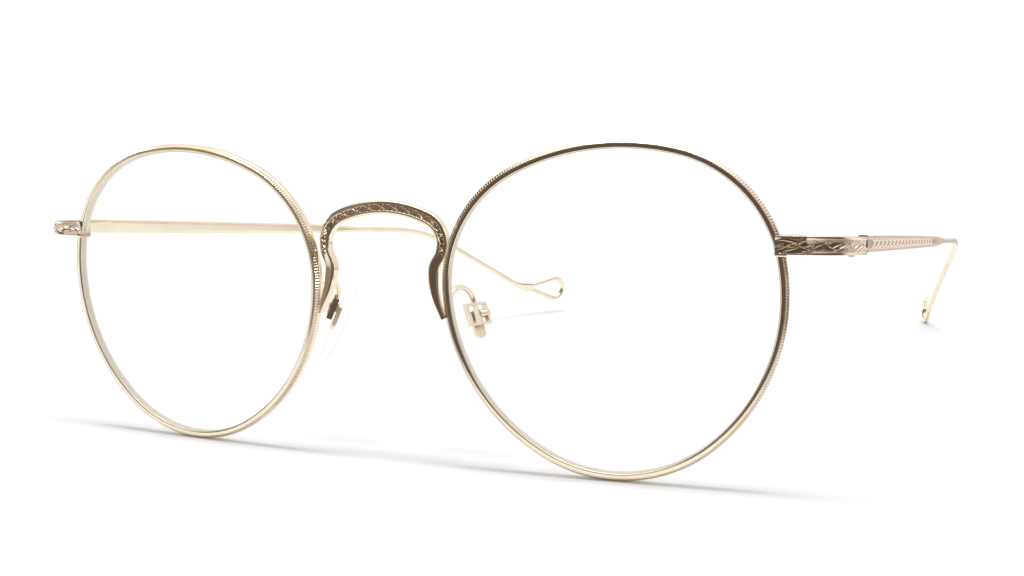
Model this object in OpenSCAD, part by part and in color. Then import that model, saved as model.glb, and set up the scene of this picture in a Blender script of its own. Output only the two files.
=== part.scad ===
// Eyeglasses with round wire rims, a saddle bridge, pads on bent arms
// and straight tapered temples that end in open wire loops.
// Millimetres. +Z is up, the front faces -Y, and the wearer's left is +X.
// The origin is on the standing surface, midway between the lenses.

/* [Lens outline] */
// Distance between the two lens centres
lens_spacing = 70; // [66:0.5:76]
// Radius of the rim's outer outline along the bottom
bottom_r = 21.55; // [20.5:0.05:22.5]
// Half of the angle that the bottom arc covers
bottom_half = 35; // [30:0.5:40]
// Radius of the flatter sides
side_r = 28.45; // [27:0.05:30]
// Angle that each side arc covers
side_sweep = 60; // [56:0.5:64]
// Radius of the upper corners
corner_r = 19.15; // [18:0.05:20]
// Angle that each upper corner covers
corner_sweep = 65.5; // [62:0.5:69]
// Height of the lens centre above the lowest point of the upright outline
centre_height = 25.15; // [24:0.05:26]
// Turn of the outline that lifts its outer side
outline_tilt = 6.5; // [4:0.5:9]
// Face form: each rim's outer side is set back by this angle
wrap = 3.2; // [0:0.2:8]

/* [Rims] */
// Radial width of the rim wire
rim_w = 1.15; // [1:0.05:1.4]
// Depth of the rim wire from front to back
rim_depth = 1.5; // [1.35:0.05:2]
// Bevel on the rim's inner and back edges
rim_edge = 0.1; // [0.05:0.01:0.15]
// Size of the coin-edged bevel between the rim's front and its outside
coin_edge = 0.5; // [0.3:0.05:0.6]
// Width of the groove that holds the lens
groove_w = 1; // [0.7:0.05:1.2]
// Depth of the groove that holds the lens
groove_depth = 0.45; // [0.3:0.05:0.6]

/* [Lenses] */
// Thickness of the lens at its edge
lens_t = 1.5; // [1.2:0.1:1.6]
// Height of the lens's front curve
lens_sag = 1.2; // [0.4:0.1:2.5]
// Play between the lens and its rim
lens_gap = 0.04; // [0.02:0.01:0.1]

/* [Bridge] */
// Angle that each half of the arch covers
arch_sweep = 24; // [21:0.5:27]
// Radius of the shoulder where the arch turns down
shoulder_r = 4.2; // [3.7:0.1:4.6]
// Angle that the shoulder covers
shoulder_sweep = 100; // [96:1:103]
// Radius of the waist below the shoulder
waist_r = 3.1; // [2.6:0.1:3.8]
// Radius of the lower leg, which runs out to the rim
leg_r = 12; // [10:0.5:14]
// Angle that the lower leg covers
leg_sweep = 23; // [20:0.5:25]
// Straight length of the foot on the rim
foot_len = 2.1; // [1.5:0.1:2.6]
// Place of the foot on the rim, as the angle of the rim's outward direction
foot_angle = 190.5; // [187:0.5:194]
// Height of the arch's engraved front
arch_w = 2.05; // [1.6:0.05:2.4]
// Width of the legs seen from the front
leg_w = 1.65; // [1.3:0.05:1.9]
// Width of the tip of the foot
foot_w = 0.8; // [0.6:0.05:1.2]
// Depth of the bridge bar from front to back
bridge_depth = 1.5; // [1.2:0.05:1.8]
// How far the arch stands behind its feet
arch_back = 1.8; // [0.5:0.1:2.4]

/* [End pieces and closing blocks] */
// Place of the end piece on the rim, as the angle of the rim's outward direction
end_angle = 16.5; // [13:0.5:20]
// Height of the end piece
end_h = 2.5; // [2.3:0.05:2.8]
// Height of the upper half over the split
upper_h = 1.4; // [1.25:0.05:1.6]
// Width of the split between the two halves
split_gap = 0.08; // [0.04:0.01:0.15]
// How far the end piece lies over the front of the rim
overlay = 0.35; // [0.2:0.05:0.5]
// Thickness of the end piece's bar
bar_t = 1.3; // [1.1:0.05:1.6]
// Depth over which the bar sweeps back to the hinge
sweep_depth = 7; // [6.6:0.05:7.3]
// Distance outside the rim at which the bar begins to sweep back
sweep_from = 3; // [2.95:0.05:3.3]
// Shape of the sweep: 2 is part of an ellipse, and more makes its middle straighter
sweep_flat = 3; // [2:0.1:3.2]
// Length of the closing block outside the rim
block_len = 2.9; // [2.6:0.05:2.9]
// How far the joint stands behind the rim
block_back = 0.4; // [0.3:0.05:0.6]
// Diameter of the rim screw
rim_screw_d = 1; // [0.8:0.05:1.2]
// Diameter of the rim screw's head
rim_head_d = 1.7; // [1.5:0.05:1.9]
// Height of the rim screw's head
rim_head_h = 0.4; // [0.3:0.05:0.5]

/* [Hinges] */
// Distance of the hinge pin outside the rim
pin_out = 8.35; // [7.7:0.05:9.3]
// Distance of the hinge pin behind the front of the rim
pin_back = 9.2; // [9:0.1:10.5]
// Diameter of the hinge screw
pin_d = 1; // [0.8:0.05:1.2]
// Diameter of the hinge knuckles
knuckle_d = 2.1; // [2:0.05:2.4]
// Thickness of the hinge leaves
leaf_t = 0.75; // [0.6:0.05:0.9]
// Length of the leaf on the temple
leaf_len = 6; // [4:0.5:9]
// Height of the hinge leaves
leaf_h = 1.4; // [1:0.05:1.5]
// Play round the pin and between the knuckles
hinge_play = 0.03; // [0.02:0.01:0.06]
// Play between the end piece and the open temple
butt_gap = 0.05; // [0.03:0.01:0.1]
// Diameter of the hinge screw's head
pin_head_d = 1.6; // [1.4:0.05:1.7]
// Height of the hinge screw's head
pin_head_h = 0.35; // [0.25:0.05:0.4]
// Width of the slots in the screw heads
slot_w = 0.25; // [0.15:0.05:0.35]

/* [Temples] */
// Outward angle of an open temple
open_splay = 10; // [6:0.5:12]
// How far the left temple is folded in from open
left_fold = 0; // [0:0.5:20]
// How far the right temple is folded in from open
right_fold = 28.6; // [0:0.2:40]
// Height of the temple at the hinge
temple_h = 2.4; // [2.1:0.05:2.6]
// Diameter of the plain wire
wire_d = 1.15; // [1:0.05:1.4]
// Length of the engraved blade
taper_len = 56; // [45:1:66]
// How much lower the blade is at its end than at the hinge
blade_fall = 0.5; // [0.2:0.05:0.9]
// Length over which the blade runs out into plain wire
fade_len = 14; // [8:1:20]
// How far the temple stands above the middle of the hinge
temple_up = 0.28; // [0:0.02:0.4]
// Length from the hinge to the middle of the ear bend
ear_len = 90.5; // [82:0.5:100]
// Length that the ear bend is spread over
ear_spread = 24; // [15:1:35]
// Length from the middle of the ear bend to the loop
tip_len = 36.5; // [30:0.5:45]
// Slope of the temple below square to the front
temple_drop = 5.15; // [2:0.05:8]
// Downward turn of the ear bend
ear_drop = 25.5; // [15:0.5:32]
// Inward turn of the ear bend
ear_inward = 17.5; // [8:0.5:20]
// Length of the flattened neck in front of the loop
neck_len = 7; // [5:0.5:10]

/* [Temple loops] */
// Length of the loop
loop_len = 10.5; // [9:0.1:13]
// Height of the loop
loop_h = 6.5; // [5.5:0.1:8]
// Slope of the left loop below level
left_loop_drop = 24; // [0:1:32]
// Slope of the right loop below level
right_loop_drop = 7; // [0:1:32]

/* [Nose pads] */
// Length of the pad
pad_len = 14; // [12:0.5:16]
// Width of the pad
pad_w = 7.2; // [6:0.1:8.5]
// Thickness of the pad
pad_t = 1.9; // [1.6:0.1:2.4]
// Sideways distance of the pad box outside the rim's inner side
pad_out = 2.35; // [1.5:0.05:3.1]
// Distance of the pad box behind the rim
pad_back = 6.6; // [5.4:0.1:8.4]
// Distance of the pad box below the lens centre
pad_down = 3.2; // [1:0.1:5]
// Angle that opens the pads towards the face
pad_splay = 30; // [20:1:36]
// Angle that opens the pads towards the bottom
pad_lean = 24; // [16:1:30]
// Distance of the pad's middle below its box
pad_drop = 1.4; // [0.5:0.1:2.5]
// Distance of the pad's middle in front of its box
pad_shift = 0.5; // [0:0.1:1.2]
// Space between the box and the pad
pad_space = 0.55; // [0.45:0.05:0.8]
// Length of the pad box
box_len = 3.5; // [3:0.1:4]
// Width of the pad box
box_w = 3.9; // [3.5:0.1:4.4]
// Depth of the pad box
box_depth = 0.9; // [0.8:0.05:1.2]
// Thickness of the pad box's walls
box_wall = 0.4; // [0.3:0.05:0.5]
// Diameter of the pad screw
pad_pin_d = 0.6; // [0.5:0.05:0.7]
// Diameter of the pad screw's head
pad_head_d = 0.85; // [0.75:0.05:0.9]
// Height of the pad screw's head
pad_head_h = 0.3; // [0.2:0.05:0.4]
// Diameter of the lug's eye
lug_d = 1.3; // [1.1:0.05:1.5]
// Play of the lug in the box and on its screw
lug_play = 0.04; // [0.02:0.01:0.08]
// Thickness of the core plate in the pad
core_t = 0.5; // [0.4:0.05:0.7]
// Width of the core plate
core_w = 1.8; // [1.5:0.1:2.2]
// Diameter of the pad arm's wire
arm_d = 0.9; // [0.7:0.05:1.1]
// Height of the arm's bow over its foot
arm_rise = 2.6; // [1.5:0.1:4]
// Place of the arm's foot on the rim, as the angle of the rim's outward direction
arm_angle = 185; // [182:0.5:188]

/* [Hidden] */
$fn = 64;
// Room left in each soldered joint
solder = 0.02;
// Overlap that lets a cutter pass a face
cut = 0.1;
// Steps round a rim, a lens, a nose pad, a loop and an arm
rim_steps = 108;
lens_steps = 72;
pad_steps = 36;
loop_steps = 24;
arm_steps = 20;
// Degrees of one step along the end piece's sweep
sweep_step = 5;
// Length of one step along a swept bar
bar_step = 2.5;
bridge_step = 0.7;
metal = "#d8c3a1";
bright = "#e8d9be";

// Lens outline: tangent arcs, each [radius, first direction, last direction, centre].
// A direction is the angle of the outward normal, from the outer side, upwards.
function dir(a) = [cos(a), sin(a)];
function turned(p, a) = [p.x * cos(a) - p.y * sin(a), p.x * sin(a) + p.y * cos(a)];
low_end = bottom_half - 90;
side_end = low_end + side_sweep;
corner_end = side_end + corner_sweep;
bottom_c = [0, bottom_r - centre_height];
side_c = bottom_c + (bottom_r - side_r) * dir(low_end);
corner_c = side_c + (side_r - corner_r) * dir(side_end);
// The top arc closes the outline on its own middle line
top_r = corner_r + corner_c.x / cos(corner_end);
top_c = corner_c + (corner_r - top_r) * dir(corner_end);
function flipped(arc) = [arc[0], 180 - arc[2], 180 - arc[1], [-arc[3].x, arc[3].y]];
side_arc = [side_r, low_end, side_end, side_c];
corner_arc = [corner_r, side_end, corner_end, corner_c];
outline = [
    side_arc, corner_arc, [top_r, corner_end, 180 - corner_end, top_c],
    flipped(corner_arc), flipped(side_arc), [bottom_r, 180 - low_end, 360 + low_end, bottom_c]
];
function arc_for(a) = [for (arc = outline) if (a >= arc[1] && a < arc[2]) arc][0];
function upright_point(a, inset) = let (arc = arc_for(a)) arc[3] + (arc[0] - inset) * dir(a);
function wound(a) = a < low_end ? wound(a + 360) : a >= low_end + 360 ? wound(a - 360) : a;
function rim_point(a, inset = 0) = turned(upright_point(wound(a - outline_tilt), inset), outline_tilt);

// Places in the leaning front: a point of a rim, with its depth behind the rim's front
function from_rim(p, depth) = [
    lens_spacing / 2 + p.x * cos(wrap) - depth * sin(wrap),
    p.x * sin(wrap) + depth * cos(wrap),
    p.y
];
end_at = rim_point(end_angle);
split_z = end_at.y;
end_z = split_z + upper_h - end_h / 2;
foot_at = from_rim(rim_point(foot_angle, -solder), rim_depth / 2);
rim_low = (bottom_r - centre_height) * cos(outline_tilt) - bottom_r;
// Depth of the middle of the rim's outside, on which it stands
tread = (coin_edge + rim_depth - rim_edge) / 2;

// Hinge: its own frame turns with the open temple, u outwards and v backwards from the pin
toe = open_splay + wrap;
pin_x = end_at.x + pin_out;
bar_in = knuckle_d / 2 + butt_gap;
bar_out = bar_in + bar_t;
// The bar sweeps back along a flattened ellipse that runs out into the tail at the hinge
sweep_c = [end_at.x + sweep_from, sweep_depth - overlay];
tail_reach = bar_out - (sweep_c.x - pin_x) * cos(toe) + (sweep_c.y - pin_back) * sin(toe);
sweep_w = pow(pow(tail_reach, sweep_flat) - pow(sweep_depth * sin(toe), sweep_flat), 1 / sweep_flat) / cos(toe);
sweep_end = atan(pow(sweep_w * cos(toe) / (sweep_depth * sin(toe)), sweep_flat / 2));
sweep_power = 2 - 2 / sweep_flat;
function sweep_point(a) = sweep_c + [sweep_w * pow(sin(a), sweep_power), -sweep_depth * pow(cos(a), sweep_power)];
tail_len = (pin_back - sweep_point(sweep_end).y) * cos(toe) - (sweep_point(sweep_end).x - pin_x) * sin(toe);
fall = tan(temple_drop);
hinge_z = end_z - fall * (pin_back + overlay);
knuckle_h = end_h / 3;
temple_u = bar_in + bar_t / 2;

// Temple: stations along its middle line, from the hinge to the loop
wire_len = ear_len + tip_len;
steps = ceil(wire_len / bar_step);
function ease(t) = let (x = min(max(t, 0), 1)) x * x * (3 - 2 * x);
function ear(s) = ease((s - ear_len) / ear_spread + 0.5);
function neck(s) = ease((s - wire_len) / neck_len + 1);
function loop_drop(side) = side > 0 ? left_loop_drop : right_loop_drop;
function slope(s, side) = (temple_drop + ear_drop * ear(s)) * (1 - neck(s)) + loop_drop(side) * neck(s);
function heading(s, side) = [
    -sin(ear_inward * ear(s)) * cos(slope(s, side)),
    cos(ear_inward * ear(s)) * cos(slope(s, side)),
    -sin(slope(s, side))
];
step_len = wire_len / steps;
function stations(side) = [
    for (i = 0, p = [temple_u, butt_gap, temple_up]; i <= steps;
        p = p + step_len * heading((i + 0.5) * step_len, side), i = i + 1) p
];
function loop_at(side) = stations(side)[steps];
loop_r = (loop_h - wire_d) / 2;
loop_split = wire_d / 2 + solder;
loop_c = loop_len - loop_r - wire_d / 2;
loop_flare = asin(loop_r / norm([loop_c, loop_split])) - atan2(loop_split, loop_c);
neck_h = 2 * (loop_split + wire_d / 2 + solder);

// Standing: the front leans back until the rims and the lower loop reach one surface
function loop_behind(side) = let (
    drop = loop_drop(side),
    p = loop_at(side) + loop_c * cos(drop) * [-sin(ear_inward), cos(ear_inward), 0],
    a = (side > 0 ? left_fold : right_fold) - open_splay
) from_rim([pin_x, 0], pin_back).y + p.x * sin(a) + p.y * cos(a);
function loop_low(side) = hinge_z + loop_at(side).z - loop_c * sin(loop_drop(side)) - loop_h / 2;
function lean_for(side) = atan((loop_low(side) - rim_low) / (loop_behind(side) - tread));
lean = min(lean_for(1), lean_for(-1));
lift = -rim_low * cos(lean) + tread * sin(lean);

// Nose pad: its own frame has a up along the pad, b backwards and c towards the nose
nasal = from_rim(rim_point(180), rim_depth);
box_at = [nasal.x + pad_out, nasal.y + pad_back, -pad_down];
function lean_in(p) = [p.x * cos(pad_lean) - p.z * sin(pad_lean), p.y, p.x * sin(pad_lean) + p.z * cos(pad_lean)];
function splay_out(p) = let (q = turned([p.x, p.y], -pad_splay)) [q.x, q.y, p.z];
function from_pad(a, b, c) = box_at + splay_out(lean_in([-c, b, a]));
window_w = (box_w - 3 * box_wall) / 2;
lug_b = box_w / 2 - box_wall - window_w / 2;
core_b = lug_b / 2;
pad_c = box_depth / 2 + pad_space;

// Closed skin over rings of points; a tip closes an end in a point instead of a flat face
module skin(rings, tips = []) {
    n = len(rings[0]);
    last = (len(rings) - 1) * n;
    flat = len(tips) == 0;
    polyhedron(
        [for (ring = rings) each ring, each tips],
        [
            if (flat) [for (k = [0 : n - 1]) k],
            if (!flat) for (k = [0 : n - 1]) [last + n, k, (k + 1) % n],
            for (i = [0 : len(rings) - 2], k = [0 : n - 1]) each let (
                a = i * n + k,
                b = i * n + (k + 1) % n
            ) [[a, a + n, b], [b, a + n, b + n]],
            if (flat) [for (k = [n - 1 : -1 : 0]) last + k],
            if (!flat) for (k = [0 : n - 1]) [last + n + 1, last + (k + 1) % n, last + k]
        ],
        convexity = 6
    );
}

// Ring of a swept bar: half sizes along its side and up directions, and 1 for round, less for square
ring_sides = 12;
function power(x, e) = sign(x) * pow(abs(x), e);
function bar_ring(middle, side_half, side, up_half, up, roundness) = let (
    half_step = 180 / ring_sides,
    full = pow(cos(half_step), roundness)
) [
    for (k = [0 : ring_sides - 1]) let (a = half_step * (2 * k + 1))
        middle + (side_half * power(cos(a), roundness) * side + up_half * power(sin(a), roundness) * up) / full
];

module pair(side) {
    mirror([side < 0 ? 1 : 0, 0, 0]) children();
}

module standing() {
    translate([0, 0, lift]) rotate([-lean, 0, 0]) children();
}

module on_front(side) {
    standing() pair(side) translate([lens_spacing / 2, 0, 0]) rotate([0, 0, wrap]) children();
}

module in_hinge(side) {
    on_front(side) translate([pin_x, pin_back, hinge_z]) rotate([0, 0, -toe]) children();
}

module in_temple(side) {
    in_hinge(side) rotate([0, 0, side > 0 ? left_fold : right_fold]) children();
}

module in_pad(side) {
    standing() pair(side) translate(box_at) rotate([0, 0, -pad_splay]) rotate([0, -pad_lean, 0]) children();
}

// Bridge
bridge_turn_low = 90 - leg_sweep;
shoulder_turn = arch_sweep + shoulder_sweep;
foot_x = foot_at.x - foot_w / 2 * sin(bridge_turn_low) - solder;
// The arch's radius closes the span that the shoulder, waist, leg and foot leave
arch_r = (
    foot_x - foot_len * cos(bridge_turn_low) - shoulder_r * (sin(shoulder_turn) - sin(arch_sweep))
    + waist_r * (1 - sin(shoulder_turn)) - leg_r * (1 - sin(bridge_turn_low))
) / sin(arch_sweep);
bridge_arcs = [
    [arch_r, arch_sweep], [shoulder_r, shoulder_sweep],
    [-waist_r, shoulder_turn - 90], [-leg_r, leg_sweep]
];
function arc_len(arc) = abs(arc[0]) * arc[1] * PI / 180;
arch_end = arc_len(bridge_arcs[0]);
shoulder_end = arch_end + arc_len(bridge_arcs[1]);
waist_end = shoulder_end + arc_len(bridge_arcs[2]);
leg_end = waist_end + arc_len(bridge_arcs[3]);
bridge_end = leg_end + foot_len;
function bridge_turn(s) =
    s < arch_end ? arch_sweep * s / arch_end
    : s < shoulder_end ? arch_sweep + shoulder_sweep * (s - arch_end) / (shoulder_end - arch_end)
    : s < waist_end ? 90 + (shoulder_turn - 90) * (waist_end - s) / (waist_end - shoulder_end)
    : s < leg_end ? 90 - leg_sweep * (s - waist_end) / (leg_end - waist_end)
    : bridge_turn_low;
bridge_steps = ceil(bridge_end / bridge_step);
bridge_ds = bridge_end / bridge_steps;
bridge_half = [
    for (i = 0, p = [0, 0]; i <= bridge_steps;
        p = p + bridge_ds * [cos(bridge_turn((i + 0.5) * bridge_ds)), -sin(bridge_turn((i + 0.5) * bridge_ds))],
        i = i + 1) p
];
foot_tip = bridge_half[bridge_steps];
function bridge_w(s) =
    let (down = ease((s - arch_end) / (shoulder_end - arch_end)), out = ease((s - waist_end) / (bridge_end - waist_end)))
    arch_w + (leg_w - arch_w) * down + (foot_w - leg_w) * out;
arch_top = foot_at.z - foot_tip.y;

module bridge() {
    function ring(i, side) = let (
        s = i * bridge_ds,
        p = bridge_half[i],
        back = ease((s - arch_end) / (bridge_end - arch_end)),
        a = bridge_turn(s)
    ) bar_ring(
        [side * p.x, foot_at.y + arch_back * (1 - back), arch_top + p.y],
        bridge_depth / 2, [0, 1, 0], bridge_w(s) / 2, [side * sin(a), 0, cos(a)], 0.5
    );
    color(metal) standing() skin([
        for (i = [bridge_steps : -1 : 0]) ring(i, -1),
        for (i = [1 : bridge_steps]) ring(i, 1)
    ]);
}

// Rim: its section, as inset from the outline and depth behind the front
rim_mid = rim_depth / 2;
rim_section = [
    [coin_edge, 0], [0, coin_edge], [0, rim_depth - rim_edge], [rim_edge, rim_depth],
    [rim_w - rim_edge, rim_depth], [rim_w, rim_depth - rim_edge], [rim_w, rim_mid + groove_w / 2],
    [rim_w - groove_depth, rim_mid], [rim_w, rim_mid - groove_w / 2], [rim_w, rim_edge], [rim_w - rim_edge, 0]
];
// The arc that the end piece sits on, and the direction in which a level cut meets it
end_arc = arc_for(wound(end_angle - outline_tilt));
end_arc_c = turned(end_arc[3], outline_tilt);
function cut_direction(inset, level) = asin((level - end_arc_c.y) / (end_arc[0] - inset));

module rim(side) {
    color(metal) on_front(side) skin([
        for (k = [0 : rim_steps]) [
            for (q = rim_section) let (
                first = cut_direction(q.x, split_z),
                last = 360 + cut_direction(q.x, split_z - split_gap),
                p = rim_point(first + (last - first) * k / rim_steps, q.x)
            ) [p.x, q.y, p.y]
        ]
    ]);
}

// Lens
module lens(side) {
    edge = rim_w + lens_gap;
    bevel = groove_w / 2 - lens_gap;
    front = rim_mid - lens_t / 2;
    back = rim_mid + lens_t / 2;
    shares = [0.25, 0.5, 0.75, 0.9];
    function edge_ring(inset, depth) = [
        for (k = [0 : lens_steps - 1]) let (p = rim_point(360 / lens_steps * k, inset)) [p.x, depth, p.y]
    ];
    function dome_ring(share, depth) = [
        for (k = [0 : lens_steps - 1]) let (p = share * rim_point(360 / lens_steps * k, edge))
            [p.x, depth - lens_sag * (1 - share * share), p.y]
    ];
    color("#f6f2e6", 0.35) on_front(side) skin(
        [
            for (share = shares) dome_ring(share, front),
            edge_ring(edge, front), edge_ring(edge, rim_mid - bevel),
            edge_ring(rim_w - groove_depth + lens_gap, rim_mid),
            edge_ring(edge, rim_mid + bevel), edge_ring(edge, back),
            for (i = [len(shares) - 1 : -1 : 0]) dome_ring(shares[i], back)
        ],
        [[0, front - lens_sag, 0], [0, back - lens_sag, 0]]
    );
}

// End piece, closing block and the screw that draws them together
joint_back = rim_depth + block_back;
screw_x = end_at.x + block_len / 2;
screw_y = (joint_back - overlay) / 2;
block_from = end_at.x - rim_w + rim_edge;
end_low = end_z - end_h / 2;
// Thickness of the upper half left over the screw, and angle of rim let into the joint
screw_roof = 0.4;
seat_half = 20;
thread_h = upper_h - screw_roof;

// The space that the rim fills in the joint
module rim_seat() {
    outer = end_arc[0] + solder;
    translate([end_arc_c.x, -solder, end_arc_c.y]) rotate([90, seat_half - end_angle, 0]) mirror([0, 0, 1])
        rotate_extrude(angle = 2 * seat_half)
            translate([outer - 3 * rim_w, 0]) square([3 * rim_w, rim_depth + 2 * solder]);
}

// Outline of the end piece from above: joint, swept bar and the tail that meets the temple
function from_hinge(u, v) = [
    pin_x + u * cos(toe) + v * sin(toe),
    pin_back - u * sin(toe) + v * cos(toe)
];
function swept(a, inset) = let (
    n = [pow(sin(a), 2 / sweep_flat) / sweep_w, -pow(cos(a), 2 / sweep_flat) / sweep_depth]
) sweep_point(a) - inset * n / norm(n);
sweep_steps = ceil(sweep_end / sweep_step);
block_end = end_at.x + block_len;
sweep_angles = [for (i = [0 : sweep_steps]) sweep_end * i / sweep_steps];

// Sections along the end piece: the joint's upper half, then the bar, which falls at the temple's slope
function sag(p) = fall * (p.y + overlay);
function end_section(out, in, low) = let (high = end_low + end_h - sag(out)) [
    [out.x, out.y, low], [in.x, in.y, low], [in.x, in.y, high], [out.x, out.y, high]
];
function bar_section(out, in) = end_section(out, in, end_low - sag(out));
function joint_section(x, low) = end_section([x, -overlay], [x, joint_back], low);

module end_piece(side) {
    color(metal) on_front(side) difference() {
        skin([
            joint_section(block_from, split_z), joint_section(block_end, split_z),
            joint_section(block_end + solder, end_low),
            for (a = sweep_angles) bar_section(swept(a, 0), swept(a, bar_t)),
            bar_section(from_hinge(bar_out, -butt_gap), from_hinge(bar_in, -butt_gap))
        ]);
        rim_seat();
        translate([screw_x, screw_y, split_z - cut]) cylinder(d = rim_screw_d + solder, h = thread_h + cut);
    }
}

// A collar under the block holds the rim's lower end
module closing_block(side) {
    collar_h = 0.3;
    collar_out = 0.4;
    color(bright) on_front(side) difference() {
        union() {
            translate([block_from, -overlay, end_low]) cube([
                block_end - solder - block_from, joint_back + overlay, split_z - split_gap - end_low
            ]);
            translate([block_from, -overlay, end_low - collar_h])
                cube([rim_w + collar_out, joint_back + overlay, collar_h + upper_h / 2]);
        }
        rim_seat();
        translate([screw_x, screw_y, end_low - cut]) cylinder(d = rim_screw_d + 2 * solder, h = end_h);
        translate([screw_x, screw_y, end_low - cut])
            cylinder(d = rim_head_d + 2 * solder, h = rim_head_h + solder + cut);
    }
}

// A slotted screw along +Z from the bottom of its head
module slotted_screw(head_d, head_h, shank_d, shank_len) {
    difference() {
        union() {
            cylinder(d = head_d, h = head_h);
            cylinder(d = shank_d, h = head_h + shank_len);
        }
        translate([-head_d, -slot_w / 2, -cut]) cube([2 * head_d, slot_w, head_h / 2 + cut]);
    }
}

module rim_screw(side) {
    color(bright) on_front(side) translate([screw_x, screw_y, end_low])
        slotted_screw(rim_head_d, rim_head_h, rim_screw_d, split_z + thread_h - solder - end_low - rim_head_h);
}

// Hinge: the screw's head lies flush in the upper knuckle
module knuckle(low, high) {
    translate([0, 0, low]) cylinder(d = knuckle_d, h = high - low);
}

module front_hinge(side) {
    reach = knuckle_d / 2 + butt_gap;
    leaf_in = bar_in - leaf_t;
    color(metal) in_hinge(side) difference() {
        union() {
            translate([leaf_in, -tail_len, -leaf_h / 2]) cube([leaf_t - solder, tail_len - reach, leaf_h]);
            for (low = [-end_h / 2, end_h / 2 - knuckle_h + hinge_play]) {
                knuckle(low, low + knuckle_h - hinge_play);
                translate([leaf_in, -2 * reach, low])
                    cube([leaf_t - solder, 2 * reach, knuckle_h - hinge_play]);
            }
        }
        translate([0, 0, -end_h]) cylinder(d = pin_d + solder, h = 2 * end_h);
        translate([0, 0, end_h / 2 - pin_head_h - solder])
            cylinder(d = pin_head_d + 2 * solder, h = pin_head_h + cut);
    }
}

module temple_hinge(side) {
    reach = knuckle_d / 2 + butt_gap;
    leaf_in = bar_in - leaf_t;
    color(metal) in_temple(side) difference() {
        union() {
            translate([leaf_in, reach, -leaf_h / 2]) cube([leaf_t - solder, leaf_len - reach, leaf_h]);
            knuckle(-knuckle_h / 2, knuckle_h / 2);
            translate([leaf_in, 0, -knuckle_h / 2]) cube([leaf_t - solder, 2 * reach, knuckle_h]);
        }
        translate([0, 0, -end_h]) cylinder(d = pin_d + 2 * hinge_play, h = 2 * end_h);
    }
}

module hinge_screw(side) {
    color(bright) in_hinge(side) translate([0, 0, end_h / 2]) mirror([0, 0, 1])
        slotted_screw(pin_head_d, pin_head_h, pin_d, end_h - pin_head_h);
}

// Temple
function fade(s) = ease((s - taper_len) / fade_len);
function blade_h(s) = temple_h - blade_fall * pow(min(s / taper_len, 1), 2);
function bar_h(s) = blade_h(s) + (wire_d - blade_h(s)) * fade(s) + (neck_h - wire_d) * neck(s);
function bar_w(s) = bar_t + (wire_d - bar_t) * fade(s);

module temple(side) {
    line = stations(side);
    color(metal) in_temple(side) skin([
        for (i = [0 : steps]) let (
            s = i * step_len,
            tip = slope(s, side) * ease(s / leaf_len),
            yaw = ear_inward * ear(s),
            flat = max(1 - fade(s), neck(s) / 2)
        ) bar_ring(
            line[i], bar_w(s) / 2, [cos(yaw), sin(yaw), 0],
            bar_h(s) / 2, [-sin(yaw) * sin(tip), cos(yaw) * sin(tip), cos(tip)], 1 - 0.7 * flat
        )
    ]);
}

// Loop: two straight legs from the neck and a round end between them
module temple_loop(side) {
    function leg(up) = bar_ring(
        [0, 0, up * loop_split], wire_d / 2, [1, 0, 0], wire_d / 2, [0, 0, up], 1
    );
    color(metal) in_temple(side)
        translate(loop_at(side)) rotate([0, 0, ear_inward]) rotate([-loop_drop(side), 0, 0])
            translate([0, solder, 0])
            skin([
                leg(1),
                for (i = [0 : loop_steps]) let (
                    a = 90 + loop_flare - (180 + 2 * loop_flare) * i / loop_steps,
                    out = [0, cos(a), sin(a)]
                ) bar_ring([0, loop_c, 0] + loop_r * out, wire_d / 2, [1, 0, 0], wire_d / 2, out, 1),
                leg(-1)
            ]);
}

// Nose pad group
module pad_box(side) {
    color(bright) in_pad(side) difference() {
        translate([-box_depth / 2, -box_w / 2, -box_len / 2]) cube([box_depth, box_w, box_len]);
        for (b = [-lug_b, lug_b])
            translate([-box_depth, b - window_w / 2, box_wall - box_len / 2])
                cube([2 * box_depth, window_w, box_len - 2 * box_wall]);
        rotate([-90, 0, 0]) cylinder(d = pad_pin_d + solder, h = box_w);
    }
}

module pad_screw(side) {
    color("#8a7f72") in_pad(side) translate([0, box_w / 2 + solder + pad_head_h, 0]) rotate([90, 0, 0])
        slotted_screw(pad_head_d, pad_head_h, pad_pin_d, box_w / 2 - box_wall / 2);
}

// The core's plate stands out of the back of the pad, where the lug is joined to it
core_proud = 0.15;

module core_plate(grow, proud) {
    tongue = box_len / 2 + core_w / 2;
    translate([-pad_c - core_t - grow, 0, 0]) rotate([0, 90, 0]) linear_extrude(core_t + grow + proud) {
        translate([0, core_b]) circle(d = core_w + 2 * grow);
        translate([0, core_b - core_w / 2 - grow]) square([tongue, core_w + 2 * grow]);
        translate([tongue, core_b]) circle(d = core_w + 2 * grow);
    }
}

module pad_core(side) {
    width = window_w - 2 * lug_play;
    color(metal) in_pad(side) difference() {
        union() {
            core_plate(0, core_proud);
            translate([0, lug_b - width / 2, 0]) rotate([-90, 0, 0]) cylinder(d = lug_d, h = width);
            translate([solder - pad_c, lug_b - width / 2, -lug_d / 2]) cube([pad_c - solder, width, lug_d]);
        }
        rotate([-90, 0, 0]) cylinder(d = pad_pin_d + 2 * lug_play, h = box_w);
    }
}

// Cross-section of the pad from its back to its crown: share of the outline, share of the thickness
pad_section = [[0.84, 0], [0.97, 0.18], [1, 0.42], [0.95, 0.68], [0.8, 0.87], [0.45, 1]];
// How much narrower the pad is at its top than at its middle
pad_egg = 0.12;

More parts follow.
